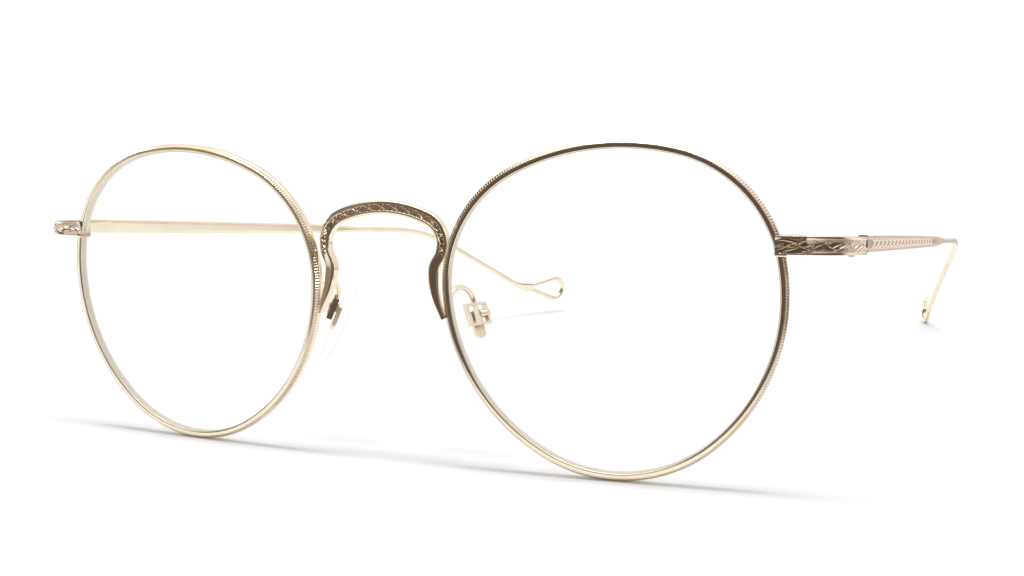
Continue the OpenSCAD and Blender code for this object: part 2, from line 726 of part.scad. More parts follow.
module nose_pad(side) {
    color("#fbfbf6", 0.4) in_pad(side) difference() {
        skin([
            for (level = pad_section) [
                for (k = [0 : pad_steps - 1]) let (a = 360 / pad_steps * k, egg = 1 - pad_egg * sin(a)) [
                    -pad_c - level[1] * pad_t,
                    level[0] * egg * pad_w / 2 * cos(a) - pad_shift,
                    level[0] * pad_len / 2 * sin(a) - pad_drop
                ]
            ]
        ]);
        core_plate(solder, cut);
    }
}

module pad_arm(side) {
    foot = from_rim(rim_point(arm_angle, rim_w / 2), rim_depth + solder);
    top = from_pad(box_len / 2 + solder, 0, 0);
    up_pad = from_pad(1, 0, 0) - box_at;
    pulls = [foot, foot + [0, arm_rise, arm_rise], top + arm_rise * up_pad, top];
    function bezier(t) = let (r = 1 - t)
        r * r * r * pulls[0] + 3 * r * r * t * pulls[1] + 3 * r * t * t * pulls[2] + t * t * t * pulls[3];
    function along(t) = let (r = 1 - t)
        r * r * (pulls[1] - pulls[0]) + 2 * r * t * (pulls[2] - pulls[1]) + t * t * (pulls[3] - pulls[2]);
    color(metal) standing() pair(side) skin([
        for (i = [0 : arm_steps]) let (
            t = i / arm_steps,
            d = i == 0 ? [-sin(wrap), cos(wrap), 0] : along(t) / norm(along(t)),
            across = cross(d, [1, 0, 0]) / norm(cross(d, [1, 0, 0]))
        ) bar_ring(bezier(t), arm_d / 2, across, arm_d / 2, cross(across, d), 1)
    ]);
}

bridge();
rim(1);  // left_rim
rim(-1);  // right_rim
lens(1);  // left_lens
lens(-1);  // right_lens
end_piece(1);  // left_end_piece
end_piece(-1);  // right_end_piece
closing_block(1);  // left_closing_block
closing_block(-1);  // right_closing_block
rim_screw(1);  // left_rim_screw
rim_screw(-1);  // right_rim_screw
front_hinge(1);  // left_front_hinge
front_hinge(-1);  // right_front_hinge
temple_hinge(1);  // left_temple_hinge
temple_hinge(-1);  // right_temple_hinge
hinge_screw(1);  // left_hinge_screw
hinge_screw(-1);  // right_hinge_screw
pad_arm(1);  // left_pad_arm
pad_arm(-1);  // right_pad_arm
pad_box(1);  // left_pad_box
pad_box(-1);  // right_pad_box
pad_screw(1);  // left_pad_screw
pad_screw(-1);  // right_pad_screw
nose_pad(1);  // left_nose_pad
nose_pad(-1);  // right_nose_pad
pad_core(1);  // left_pad_core
pad_core(-1);  // right_pad_core
temple(1);  // left_temple
temple(-1);  // right_temple
temple_loop(1);  // left_temple_loop
temple_loop(-1);  // right_temple_loop
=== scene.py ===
"""Round wire eyeglasses with an engraved saddle bridge, standing open on a white table."""

import math

import bmesh
import bpy
import numpy as np
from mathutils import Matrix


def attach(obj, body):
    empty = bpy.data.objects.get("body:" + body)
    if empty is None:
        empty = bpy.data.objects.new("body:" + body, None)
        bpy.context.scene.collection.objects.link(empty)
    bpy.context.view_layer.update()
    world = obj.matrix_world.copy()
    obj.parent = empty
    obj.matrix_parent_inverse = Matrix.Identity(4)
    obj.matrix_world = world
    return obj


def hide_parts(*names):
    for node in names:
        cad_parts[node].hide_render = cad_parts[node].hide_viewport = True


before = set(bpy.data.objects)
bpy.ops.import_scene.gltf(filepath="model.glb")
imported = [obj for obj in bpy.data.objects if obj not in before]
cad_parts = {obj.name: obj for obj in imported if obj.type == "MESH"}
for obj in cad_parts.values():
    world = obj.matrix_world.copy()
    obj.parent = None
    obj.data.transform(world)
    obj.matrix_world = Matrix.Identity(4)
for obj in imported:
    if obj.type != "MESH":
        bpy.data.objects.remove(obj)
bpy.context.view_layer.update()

# Camera
# The glasses are seen from close by, a little above the table and from the wearer's left.
shot = bpy.data.cameras.new("shot")
shot.sensor_width = 36
shot.lens = 37.17
shot.clip_start = 0.005
viewpoint = bpy.data.objects.new("viewpoint", shot)
viewpoint.location = (0.073554, -0.139802, 0.05042)
viewpoint.rotation_euler = [math.radians(angle) for angle in (81.185, 0.96, 20.531)]
bpy.context.scene.collection.objects.link(viewpoint)
bpy.context.scene.camera = viewpoint
bpy.context.scene.view_settings.view_transform = "Standard"


# Table and light
# A white table top under a strip lamp that hangs across. The room behind the viewer and on the right
# is dark, which polished metal shows, and the rest of the room and the table near the glasses are bright.
class Shade:
    """One socket of a node tree. Arithmetic on it adds Math nodes, and node() adds any other node."""

    def __init__(self, tree, socket=None):
        self.tree = tree
        self.socket = socket

    def node(self, kind, settings=(), values=(), out=0):
        made = self.tree.nodes.new(kind)
        for name, value in dict(settings).items():
            setattr(made, name, value)
        for name, value in dict(values).items():
            if isinstance(value, Shade):
                self.tree.links.new(value.socket, made.inputs[name])
            else:
                made.inputs[name].default_value = value
        if isinstance(out, tuple):
            return [Shade(self.tree, made.outputs[name]) for name in out]
        return Shade(self.tree, made.outputs[out]) if made.outputs else None

    def maths(self, operation, *terms):
        return self.node("ShaderNodeMath", {"operation": operation}, enumerate(terms))

    def __add__(self, other):
        return self.maths("ADD", self, other)

    def __sub__(self, other):
        return self.maths("SUBTRACT", self, other)

    def __rsub__(self, other):
        return self.maths("SUBTRACT", other, self)

    def __mul__(self, other):
        return self.maths("MULTIPLY", self, other)

    def __truediv__(self, other):
        return self.maths("DIVIDE", self, other)

    def __pow__(self, other):
        return self.maths("POWER", self, other)

    __radd__ = __add__
    __rmul__ = __mul__

    def ease(self, low, high):
        return self.node(
            "ShaderNodeMapRange", {"interpolation_type": "SMOOTHSTEP"},
            {"Value": self, "From Min": low, "From Max": high})

    def mixed(self, first, second):
        return self.node("ShaderNodeMix", {"data_type": "RGBA"}, {0: self, 6: first, 7: second}, out=2)


def rgb(red, green, blue):
    return (red, green, blue, 1.0)


WHITE = rgb(1, 1, 1)
DARK_ROOM = rgb(0.30, 0.25, 0.195)
DARK_FRONT = rgb(0.115, 0.088, 0.082)
DARK_SIDE = rgb(0.12, 0.095, 0.085)
ROSE_SIDE = rgb(0.66, 0.585, 0.56)

sky = bpy.data.worlds.new("studio")
sky.use_nodes = True
sky.node_tree.nodes.clear()
air = Shade(sky.node_tree)
look = air.node("ShaderNodeTexCoord", out="Generated")
x, y, z = air.node("ShaderNodeSeparateXYZ", values={0: look}, out=("X", "Y", "Z"))
ahead = -0.085 * x - 0.975 * y + 0.2 * z
seen, glossy, through = air.node(
    "ShaderNodeLightPath", out=("Is Camera Ray", "Is Glossy Ray", "Is Transmission Ray"))
dark = ahead.ease(0.80, 0.99).mixed(DARK_ROOM, DARK_FRONT)
walls = (0.5 * x + 0.5).mixed(rgb(0.99, 0.97, 0.91), rgb(0.95, 0.87, 0.89))
walls = z.ease(0.7, 0.88).mixed(walls, rgb(1.75, 1.72, 1.68))
left_side = (-1 * x).ease(0.5, 0.7) * z.ease(0.05, 0.14) * (1 - z.ease(0.62, 0.76))
right_side = x.ease(0.35, 0.6) * (0.3 - y).ease(0.0, 0.3) * (1 - z.ease(0.3, 0.5))
room = (left_side + right_side).mixed(walls, DARK_SIDE)
room = ahead.ease(0.64, 0.74).mixed(room, dark)
light = glossy.mixed(rgb(0.66, 0.66, 0.67), room)
backdrop = air.node("ShaderNodeBackground", values={"Color": (seen + through).mixed(light, WHITE)})
air.node("ShaderNodeOutputWorld", values={"Surface": backdrop})
bpy.context.scene.world = sky

table_finish = bpy.data.materials.new("white_table")
table_finish.use_nodes = True
table_finish.node_tree.nodes.clear()
top = Shade(table_finish.node_tree)
spot = top.node("ShaderNodeTexCoord", out="Object")
x, y, z = top.node("ShaderNodeSeparateXYZ", values={0: spot}, out=("X", "Y", "Z"))
# Seen only in reflections, the table away in front, on the right and behind on the right glows dark and rose
# instead of white. This is a painted reflection of the dark room in front and on the right, and of rose light
# behind on the right. To every other ray the table is plain white.
reach = (x * x + y * y) ** 0.5
away = (-1 * y / reach).ease(0.6, 0.74) * (0.35 * x - y).ease(0.04, 0.065)
beside = x.ease(0.09, 0.14) * (1 - y.ease(0.0, 0.05))
behind = x.ease(0.08, 0.12) * y.ease(0.14, 0.2)
mirrored = top.node("ShaderNodeLightPath", out="Is Glossy Ray")
white_top = top.node("ShaderNodeBsdfDiffuse", values={"Color": rgb(0.95, 0.95, 0.955)})
front_tone = (x / reach).ease(-0.5, -0.25).mixed(DARK_ROOM, DARK_FRONT)
side_tone = beside.mixed(front_tone, DARK_SIDE)
painted_reflection = top.node("ShaderNodeEmission", values={"Color": behind.mixed(side_tone, ROSE_SIDE)})
far = top.maths("MAXIMUM", top.maths("MAXIMUM", away, beside), behind)
surface = top.node("ShaderNodeMixShader", values={0: far * mirrored, 1: white_top, 2: painted_reflection})
top.node("ShaderNodeOutputMaterial", values={"Surface": surface})

TABLE_HALF = 6.0
plate = bpy.data.meshes.new("table_top")
plate.from_pydata(
    [(sx * TABLE_HALF, sy * TABLE_HALF, 0) for sx, sy in ((-1, -1), (1, -1), (1, 1), (-1, 1))],
    [], [(0, 1, 2, 3)])
plate.materials.append(table_finish)
table = bpy.data.objects.new("table_top", plate)
table.location.z = -0.00004
bpy.context.scene.collection.objects.link(table)

LAMP_TILTS = range(-16, 17, 8)
LAMP_HEIGHT = 0.6
LAMP_TOTAL = 1.48
lamp = bpy.data.lights.new("strip_lamp", "SUN")
lamp.angle = math.radians(8)
lamp.energy = LAMP_TOTAL / len(LAMP_TILTS)
for tilt in LAMP_TILTS:
    lamp_place = bpy.data.objects.new("strip_lamp", lamp)
    lean_over = math.radians(tilt)
    lamp_place.location = (LAMP_HEIGHT * math.sin(lean_over), 0.0, LAMP_HEIGHT * math.cos(lean_over))
    lamp_place.rotation_euler.y = lean_over
    bpy.context.scene.collection.objects.link(lamp_place)

# Rims
# Each rim is a drawn wire of plated nickel alloy, bent round the lens with a groove inside,
# a flat polished front, a small bevel towards the lens and a wide one towards the outside.
MM = 0.001
SIDES = {"left": 1, "right": -1}
lean = math.radians(0.382562)
lift = 25.1326
lens_spacing = 70
wrap = math.radians(3.2)
outline_tilt = 6.5
rim_w = 1.15
rim_depth = 1.5
rim_mid = rim_depth / 2
coin_edge = 0.5
split_gap = 0.08


def toward(angle):
    return np.array([math.cos(math.radians(angle)), math.sin(math.radians(angle))])


def lens_outline():
    bottom_r, side_r, corner_r = 21.55, 28.45, 19.15
    low_end = 35 - 90
    side_end = low_end + 60
    corner_end = side_end + 65.5
    bottom_c = np.array([0, bottom_r - 25.15])
    side_c = bottom_c + (bottom_r - side_r) * toward(low_end)
    corner_c = side_c + (side_r - corner_r) * toward(side_end)
    top_r = corner_r + corner_c[0] / math.cos(math.radians(corner_end))
    top_c = corner_c + (corner_r - top_r) * toward(corner_end)
    flip = np.array([-1, 1])
    return [
        (side_r, low_end, side_end, side_c), (corner_r, side_end, corner_end, corner_c),
        (top_r, corner_end, 180 - corner_end, top_c),
        (corner_r, 180 - corner_end, 180 - side_end, corner_c * flip),
        (side_r, 180 - side_end, 180 - low_end, side_c * flip),
        (bottom_r, 180 - low_end, 360 + low_end, bottom_c)]


OUTLINE = lens_outline()


def rim_point(direction, inset=0.0):
    """Point of the rim's outer outline, by the direction of its outward normal."""
    first = OUTLINE[0][1]
    turned = (direction - outline_tilt - first) % 360 + first
    radius, _, _, centre = next(arc for arc in OUTLINE if arc[1] <= turned < arc[2])
    px, py = centre + (radius - inset) * toward(turned)
    c, s = toward(outline_tilt)
    return np.array([px * c - py * s, px * s + py * c])


def stood(points):
    """Sets points of the upright front, in millimetres, down on the table, in metres."""
    px, py, pz = np.moveaxis(np.asarray(points, float), -1, 0)
    c, s = math.cos(lean), math.sin(lean)
    return np.stack([px, py * c + pz * s, pz * c - py * s + lift], -1) * MM


def on_front(points, side):
    """Points of one rim's own frame (outwards, back, up) on the standing front."""
    px, py, pz = np.moveaxis(np.asarray(points, float), -1, 0)
    c, s = math.cos(wrap), math.sin(wrap)
    return stood(np.stack([side * (lens_spacing / 2 + px * c - py * s), px * s + py * c, pz], -1))


def facing_out(mesh):
    """Turns the faces of closed shells outwards."""
    shaped = bmesh.new()
    shaped.from_mesh(mesh)
    bmesh.ops.recalc_face_normals(shaped, faces=shaped.faces)
    shaped.to_mesh(mesh)
    shaped.free()


SHARP_EDGE = math.radians(38)


def skin(name, rings, ground=None):
    """Closed smooth mesh over a row of rings; ground marks the points that are let in and dull."""
    rings = np.asarray(rings)
    count, sides = rings.shape[:2]
    faces = []
    for i in range(count - 1):
        here, there = i * sides, (i + 1) * sides
        for k in range(sides):
            n = (k + 1) % sides
            faces.append((here + k, here + n, there + n, there + k))
    faces.append(tuple(range(sides))[::-1])
    faces.append(tuple(range((count - 1) * sides, count * sides)))
    mesh = bpy.data.meshes.new(name)
    mesh.from_pydata(rings.reshape(-1, 3).tolist(), [], faces)
    if ground is not None:
        mesh.attributes.new("ground", "FLOAT", "POINT").data.foreach_set(
            "value", np.asarray(ground, np.float32).ravel())
    facing_out(mesh)
    mesh.shade_smooth()
    mesh.set_sharp_from_angle(angle=SHARP_EDGE)
    piece = bpy.data.objects.new(name, mesh)
    bpy.context.scene.collection.objects.link(piece)
    return piece


def fit(piece, finish, body, slot, *nodes):
    """Gives a piece its finish and its body, and hides the nodes that it stands for. The record slot is not
    used.
    """
    piece.data.materials.clear()
    piece.data.materials.append(finish)
    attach(piece, body)
    if nodes:
        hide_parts(*nodes)


LET_IN = rgb(0.62, 0.51, 0.42)


def plated(name, bright, dull, smoothness, wear):
    """Polished plating with faint cloudy tarnish and polishing marks, darker where it is let in."""
    material = bpy.data.materials.new(name)
    material.use_nodes = True
    material.node_tree.nodes.clear()
    metal = Shade(material.node_tree)
    place = metal.node("ShaderNodeTexCoord", out="Object")
    cloud = metal.node("ShaderNodeTexNoise", values={"Vector": place, "Scale": 160.0, "Detail": 3.0})
    marks = metal.node("ShaderNodeTexNoise", values={"Vector": place, "Scale": 2600.0, "Detail": 2.0})
    let_in = metal.node("ShaderNodeAttribute", {"attribute_name": "ground"}, out="Fac")
    tarnish = cloud.ease(0.35, 0.75) * wear
    colour = let_in.mixed(tarnish.mixed(bright, dull), LET_IN)
    bump = metal.node("ShaderNodeBump", values={"Strength": 0.05, "Distance": 0.00002, "Height": marks})
    surface = metal.node("ShaderNodeBsdfPrincipled", values={
        "Base Color": colour, "Metallic": 1.0, "Normal": bump,
        "Roughness": smoothness + 0.06 * cloud + 0.08 * let_in})
    metal.node("ShaderNodeOutputMaterial", values={"Surface": surface})
    return material


pale_gold = plated("pale_gold", rgb(0.92, 0.83, 0.64), rgb(0.73, 0.63, 0.46), 0.10, 0.35)

end_angle = 16.5
end_at = rim_point(end_angle)
split_z = end_at[1]
turned_end = (end_angle - outline_tilt - OUTLINE[0][1]) % 360 + OUTLINE[0][1]
END_R, _, _, end_c = next(arc for arc in OUTLINE if arc[1] <= turned_end < arc[2])
END_C_Z = end_c[0] * toward(outline_tilt)[1] + end_c[1] * toward(outline_tilt)[0]


def cut_direction(inset, level):
    """Direction at which a level cut meets the arc that carries the end piece."""
    return math.degrees(math.asin((level - END_C_Z) / (END_R - inset)))


RIM_STEPS = 320
rim_flats = [
    (0.47, 0.01), (0.52, 0.0), (0.76, 0.0), (0.97, 0.0), (1.01, 0.012), (1.13, 0.11), (1.15, 0.15),
    (1.15, 0.25), (0.7, 0.75), (1.15, 1.25), (1.15, 1.4), (1.06, 1.5), (0.6, 1.5), (0.14, 1.5),
    (0.04, 1.46), (0.0, 1.37), (0.0, 0.95), (0.0, 0.55), (0.02, 0.49)]
rim_bevel = [(0.05, 0.46), (0.25, 0.26), (0.45, 0.06)]
rim_section = rim_flats + rim_bevel
rim_ground = np.array([0.0] * len(rim_flats) + [1.0] * len(rim_bevel))
for name, side in SIDES.items():
    rings = []
    for step in range(RIM_STEPS + 1):
        ring = []
        for inset, depth in rim_section:
            first = cut_direction(inset, split_z)
            last = 360 + cut_direction(inset, split_z - split_gap)
            px, pz = rim_point(first + (last - first) * step / RIM_STEPS, inset)
            ring.append((px, depth, pz))
        rings.append(on_front(ring, side))
    wire = skin(name + "_rim_wire", rings, ground=np.tile(rim_ground, len(rings)))
    fit(wire, pale_gold, "front", "plated_metal", name + "_rim")

# Coin edge
# A row of fine ridges, rolled into the wide bevel between the front and the outside of each rim.
coin_pitch = 0.43
coin_w = 0.23
coin_len = 0.54
coin_rise = 0.09
coin_clear = 3


def closed_mesh(name, points, faces):
    mesh = bpy.data.meshes.new(name)
    mesh.from_pydata([tuple(MM * v for v in p) for p in points], [], faces)
    return mesh


def row_tree():
    """Node tree that sets one small shape along a path, upright on the surface under it."""
    tree = bpy.data.node_groups.new("row_along_path", "GeometryNodeTree")
    face = tree.interface
    face.new_socket("Path", in_out="INPUT", socket_type="NodeSocketGeometry")
    kinds = {"Shape": "Object", "Pitch": "Float", "Turn": "Float", "Finish": "Material"}
    for label, kind in kinds.items():
        face.new_socket(label, in_out="INPUT", socket_type="NodeSocket" + kind)
    face.new_socket("Row", in_out="OUTPUT", socket_type="NodeSocketGeometry")
    row = Shade(tree)
    path, shape, pitch, turn, finish = row.node(
        "NodeGroupInput", out=("Path", "Shape", "Pitch", "Turn", "Finish"))
    curve = row.node("GeometryNodeMeshToCurve", values={"Mesh": path})
    places = row.node("GeometryNodeResampleCurve", {"mode": "LENGTH"}, {"Curve": curve, "Length": pitch})
    outward = row.node(
        "GeometryNodeInputNamedAttribute", {"data_type": "FLOAT_VECTOR"}, {"Name": "outward"})
    size = row.node("GeometryNodeInputNamedAttribute", {"data_type": "FLOAT"}, {"Name": "size"})
    upright = row.node("FunctionNodeAlignRotationToVector", {"axis": "Z"}, {"Vector": outward})
    along = row.node("GeometryNodeInputTangent")
    aligned = row.node(
        "FunctionNodeAlignRotationToVector", {"axis": "X", "pivot_axis": "Z"},
        {"Rotation": upright, "Vector": along})
    every_other = row.maths("MODULO", row.node("GeometryNodeInputIndex"), 2.0)
    angles = row.node("ShaderNodeCombineXYZ", values={"Z": every_other * turn})
    spin = row.node("FunctionNodeEulerToRotation", values={0: angles})
    rotation = row.node(
        "FunctionNodeRotateRotation", {"rotation_space": "LOCAL"},
        {"Rotation": aligned, "Rotate By": spin})
    geometry = row.node("GeometryNodeObjectInfo", values={"Object": shape}, out="Geometry")
    set_out = row.node("GeometryNodeInstanceOnPoints", values={
        "Points": places, "Instance": geometry, "Rotation": rotation, "Scale": size})
    real = row.node("GeometryNodeRealizeInstances", values={"Geometry": set_out})
    done = row.node("GeometryNodeSetMaterial", values={"Geometry": real, "Material": finish})
    row.node("NodeGroupOutput", values={"Row": done})
    return tree


ROW = row_tree()


def row_along(name, path, outward, size, shape, pitch, turn, finish):
    """Row of one shape along a path as a plain mesh: path and outward in metres, pitch in millimetres."""
    line = bpy.data.meshes.new(name + "_path")
    line.from_pydata([tuple(p) for p in path], [(i, i + 1) for i in range(len(path) - 1)], [])
    line.attributes.new("outward", "FLOAT_VECTOR", "POINT").data.foreach_set(
        "vector", np.asarray(outward, np.float32).ravel())
    line.attributes.new("size", "FLOAT", "POINT").data.foreach_set("value", np.asarray(size, np.float32))
    carrier = bpy.data.objects.new(name + "_path", line)
    pattern = bpy.data.objects.new(name + "_shape", shape)
    for made in (carrier, pattern):
        bpy.context.scene.collection.objects.link(made)
    modifier = carrier.modifiers.new("row", "NODES")
    modifier.node_group = ROW
    values = {"Shape": pattern, "Pitch": pitch * MM, "Turn": turn, "Finish": finish}
    for socket in ROW.interface.items_tree:
        if socket.name in values:
            modifier[socket.identifier] = values[socket.name]
    bpy.context.view_layer.update()
    shown = carrier.evaluated_get(bpy.context.evaluated_depsgraph_get())
    mesh = bpy.data.meshes.new_from_object(shown)
    carrier.modifiers.remove(modifier)
    for made in (carrier, pattern):
        bpy.data.objects.remove(made)
    mesh.name = name
    piece = bpy.data.objects.new(name, mesh)
    bpy.context.scene.collection.objects.link(piece)
    return piece


def coin_ridge():
    ends = [-coin_len / 2, coin_len / 2]
    profile = [
        (-coin_w / 2, -0.03), (-coin_w / 2 + 0.02, coin_rise * 0.6), (-coin_w / 4, coin_rise),
        (coin_w / 4, coin_rise), (coin_w / 2 - 0.02, coin_rise * 0.6), (coin_w / 2, -0.03)]
    n = len(profile)
    points = [(px, y, pz) for y in ends for px, pz in profile]
    faces = [(k, (k + 1) % n, n + (k + 1) % n, n + k) for k in range(n)]
    faces += [tuple(range(n))[::-1], tuple(range(n, 2 * n))]
    return closed_mesh("coin_ridge", points, faces)


COIN_STEPS = 720


def coin_line(rise):
    """Line round the rim along the middle of the bevel, lifted off it."""
    sunk = coin_edge / 2 - rise * math.sqrt(0.5)
    first, sweep = end_angle + coin_clear, 360 - 2 * coin_clear
    turns = [first + sweep * step / COIN_STEPS for step in range(COIN_STEPS + 1)]
    return [(px, sunk, pz) for px, pz in (rim_point(turn, sunk) for turn in turns)]


for name, side in SIDES.items():
    path = on_front(coin_line(0), side)
    outward = (on_front(coin_line(1), side) - path) / MM
    ridges = row_along(
        name + "_coin_edge", path, outward, np.ones(len(path)), coin_ridge(), coin_pitch, 0.0, pale_gold)
    fit(ridges, pale_gold, "front", "plated_metal")

# Lenses
# Clear plastic lenses with a frosted bevel round the edge that sits in the rim's groove, gently domed,
# with a trace of warm tint.
lens_t = 1.5
lens_sag = 1.2
lens_gap = 0.04
bevel_half = 0.46
bevel_tip = 0.74
LENS_STEPS = 144

clear_lens = bpy.data.materials.new("clear_lens")
clear_lens.use_nodes = True
clear_lens.node_tree.nodes.clear()
pane = Shade(clear_lens.node_tree)
place = pane.node("ShaderNodeTexCoord", out="Object")
haze = pane.node("ShaderNodeTexNoise", values={"Vector": place, "Scale": 45.0, "Detail": 2.0})
seen_edge_on = pane.node("ShaderNodeLayerWeight", values={"Blend": 0.35}, out="Facing")
frosted = pane.node("ShaderNodeAttribute", {"attribute_name": "ground"}, out="Fac")
tint = haze.mixed(rgb(1.0, 0.99, 0.94), rgb(0.99, 0.97, 0.92))
# Where the lens is seen edge-on it grows less clear and shows its pale tint. This is a painted sheen standing
# in for the glass's reflection at a glancing angle.
surface = pane.node("ShaderNodeBsdfPrincipled", values={
    "Base Color": frosted.mixed(tint, rgb(0.94, 0.89, 0.79)),
    "Roughness": 0.03 + 0.02 * haze + 0.5 * frosted, "Alpha": 0.035 + 0.3 * seen_edge_on ** 4 + 0.8 * frosted})
pane.node("ShaderNodeOutputMaterial", values={"Surface": surface})

for name, side in SIDES.items():
    edge = rim_w + lens_gap
    front = rim_mid - lens_t / 2
    back = rim_mid + lens_t / 2
    levels = [(share, edge, front, lens_sag) for share in (0.02, 0.15, 0.3, 0.45, 0.6, 0.75, 0.88, 0.96)]
    levels += [(1, edge, front, 0)]
    face_rows = list(levels)
    bevel_rows = [
        (1, edge, rim_mid - bevel_half, 0), (1, bevel_tip, rim_mid, 0), (1, edge, rim_mid + bevel_half, 0)]
    levels += bevel_rows
    levels += [(share, inset, depth + lens_t, sag) for share, inset, depth, sag in reversed(face_rows)]
    rings = []
    for share, inset, depth, sag in levels:
        ring = []
        for step in range(LENS_STEPS):
            px, pz = share * rim_point(360 * step / LENS_STEPS, inset)
            ring.append((px, depth - sag * (1 - share * share), pz))
        rings.append(on_front(ring, side))
    cut_edge = np.repeat([float(row in bevel_rows) for row in levels], LENS_STEPS)
    glass = skin(name + "_lens_pane", rings, ground=cut_edge)
    fit(glass, clear_lens, "front", "clear_lens", name + "_lens")

# Bridge
# One bar, arched over the nose, turned down at the shoulders and soldered to the rims at its feet.
# The arch is let in between two borders and engraved; the legs are plain and polished.
arch_sweep, arch_w = 24.0, 2.05
shoulder_r, shoulder_sweep = 4.2, 100.0
waist_r = 3.1
leg_r, leg_sweep, leg_w = 12.0, 23.0, 1.65
foot_len, foot_w = 2.1, 0.8
bridge_depth = 1.5
arch_back = 1.8
leg_twist = 10.0
foot_angle = 190.5
solder = 0.02


def ease(t):
    t = min(max(t, 0.0), 1.0)
    return t * t * (3 - 2 * t)


def sin(angle):
    return math.sin(math.radians(angle))


def cos(angle):
    return math.cos(math.radians(angle))


border = 0.27


def bar_section(half_w, half_h, rounding, groove, open_low=False, open_high=False):
    """Section of a bar, outer face first, with the points of that face that are let in by groove."""
    r = rounding * min(half_w, half_h)
    flat_w, flat_h = half_w - r, half_h - r
    edge = min(border, 0.3 * flat_h)
    levels = [
        (-flat_h, open_low), (edge - flat_h, open_low), (1.5 * edge - flat_h, True), (0, True),
        (flat_h - 1.5 * edge, True), (flat_h - edge, open_high), (flat_h, open_high)]
    points = [(half_w - groove * sunk, level) for level, sunk in levels]
    let_in = [float(sunk and groove > 0) for _, sunk in levels]
    sides = {
        0: [(share * flat_w, half_h) for share in (1, 0, -1)],
        90: [(-half_w, share * flat_h) for share in (1, 0.5, 0, -0.5, -1)],
        180: [(share * flat_w, -half_h) for share in (-1, 0, 1)],
        270: []}
    for first, side in sides.items():
        middle_w, middle_h = np.sign(cos(first + 45)) * flat_w, np.sign(sin(first + 45)) * flat_h
        turns = [first + a for a in (22.5, 45, 67.5)]
        points += [(middle_w + r * cos(a), middle_h + r * sin(a)) for a in turns]
        points += side
    let_in += [0.0] * (len(points) - len(let_in))
    return np.array(points), np.array(let_in)


foot_x, foot_z = rim_point(foot_angle, -solder)
foot_at = (
    lens_spacing / 2 + foot_x * math.cos(wrap) - rim_mid * math.sin(wrap),
    foot_x * math.sin(wrap) + rim_mid * math.cos(wrap), foot_z)
turn_low = 90 - leg_sweep
shoulder_turn = arch_sweep + shoulder_sweep
span = foot_at[0] - foot_w / 2 * sin(turn_low) - solder - foot_len * cos(turn_low)
span += -shoulder_r * (sin(shoulder_turn) - sin(arch_sweep)) + waist_r * (1 - sin(shoulder_turn))
arch_r = (span - leg_r * (1 - sin(turn_low))) / sin(arch_sweep)
lengths = np.radians([
    arch_r * arch_sweep, shoulder_r * shoulder_sweep, waist_r * (shoulder_turn - 90), leg_r * leg_sweep])
arch_end, shoulder_end, waist_end, leg_end = np.cumsum(lengths)
bridge_end = leg_end + foot_len


def bridge_turn(s):
    """Downward turn of the bridge's middle line at a distance from its crown."""
    return float(np.interp(
        s, [0, arch_end, shoulder_end, waist_end, leg_end], [0, arch_sweep, shoulder_turn, 90, turn_low]))


BRIDGE_STEPS = 140
bridge_ds = bridge_end / BRIDGE_STEPS
bridge_line = [np.zeros(2)]
for step in range(BRIDGE_STEPS):
    a = bridge_turn((step + 0.5) * bridge_ds)
    bridge_line.append(bridge_line[-1] + bridge_ds * np.array([cos(a), -sin(a)]))
arch_top = foot_at[2] - bridge_line[-1][1]
bridge_groove = 0.1


def bridge_frame(step):
    """Middle, half height, front, up and groove of the bridge at a step; below 0 it is on the right."""
    s = abs(step) * bridge_ds
    side = 1 if step >= 0 else -1
    px, pz = bridge_line[abs(step)]
    back = ease((s - arch_end) / (bridge_end - arch_end))
    down = ease((s - arch_end) / (shoulder_end - arch_end))
    out = ease((s - waist_end) / (bridge_end - waist_end))
    width = arch_w + (leg_w - arch_w) * down + (foot_w - leg_w) * out
    a, twist = bridge_turn(s), leg_twist * ease((s - arch_end) / (shoulder_end - arch_end))
    middle = np.array([side * px, foot_at[1] + arch_back * (1 - back), arch_top + pz])
    front = np.array([side * sin(twist), -cos(twist), 0])
    up = np.array([side * sin(a) * cos(twist), sin(a) * sin(twist), cos(a)])
    groove = bridge_groove * (1 - ease((s - shoulder_end + 1.2) / 0.5))
    return middle, width / 2, front, up, groove


rings, grounds = [], []
for step in range(-BRIDGE_STEPS, BRIDGE_STEPS + 1):
    middle, half, front, up, groove = bridge_frame(step)
    section, let_in = bar_section(bridge_depth / 2, half, 0.45, groove)
    rings.append(stood(middle + section[:, :1] * front + section[:, 1:] * up))
    grounds.append(let_in * groove / bridge_groove)
fit(skin("bridge_bar", rings, ground=grounds), pale_gold, "front", "plated_metal", "bridge")

# Bridge engraving
# Small curled leaves in a row along the arch, cut with a graver so that their edges stand bright.
bright_cut = plated("bright_cut", rgb(0.97, 0.87, 0.7), rgb(0.82, 0.71, 0.54), 0.08, 0.2)


def stroke(points, width, rise):
    """Ridge along a line of points, pointed at both ends: its points and faces, in millimetres."""
    line = np.asarray(points, float)
    ahead = np.gradient(line, axis=0)
    ahead /= np.linalg.norm(ahead, axis=1)[:, None]
    across = np.stack([-ahead[:, 1], ahead[:, 0]], 1)
    taper = np.sin(np.linspace(0.25, math.pi - 0.25, len(line)))
    verts, faces = [], []
    for p, n, t in zip(line, across, taper):
        verts += [(*(p - n * width / 2 * t), -0.03), (*p, rise * t), (*(p + n * width / 2 * t), -0.03)]
    for i in range(len(line) - 1):
        for k in range(3):
            m = (k + 1) % 3
            faces.append((3 * i + k, 3 * i + m, 3 * i + 3 + m, 3 * i + 3 + k))
    faces += [(2, 1, 0), tuple(3 * len(line) - 3 + k for k in range(3))]
    return verts, faces


def strokes(name, lines, width, rise):
    """Mesh of several strokes."""
    points, faces = [], []
    for line in lines:
        more, sides = stroke(line, width, rise)
        faces += [tuple(len(points) + k for k in face) for face in sides]
        points += more
    mesh = closed_mesh(name, points, faces)
    facing_out(mesh)
    return mesh


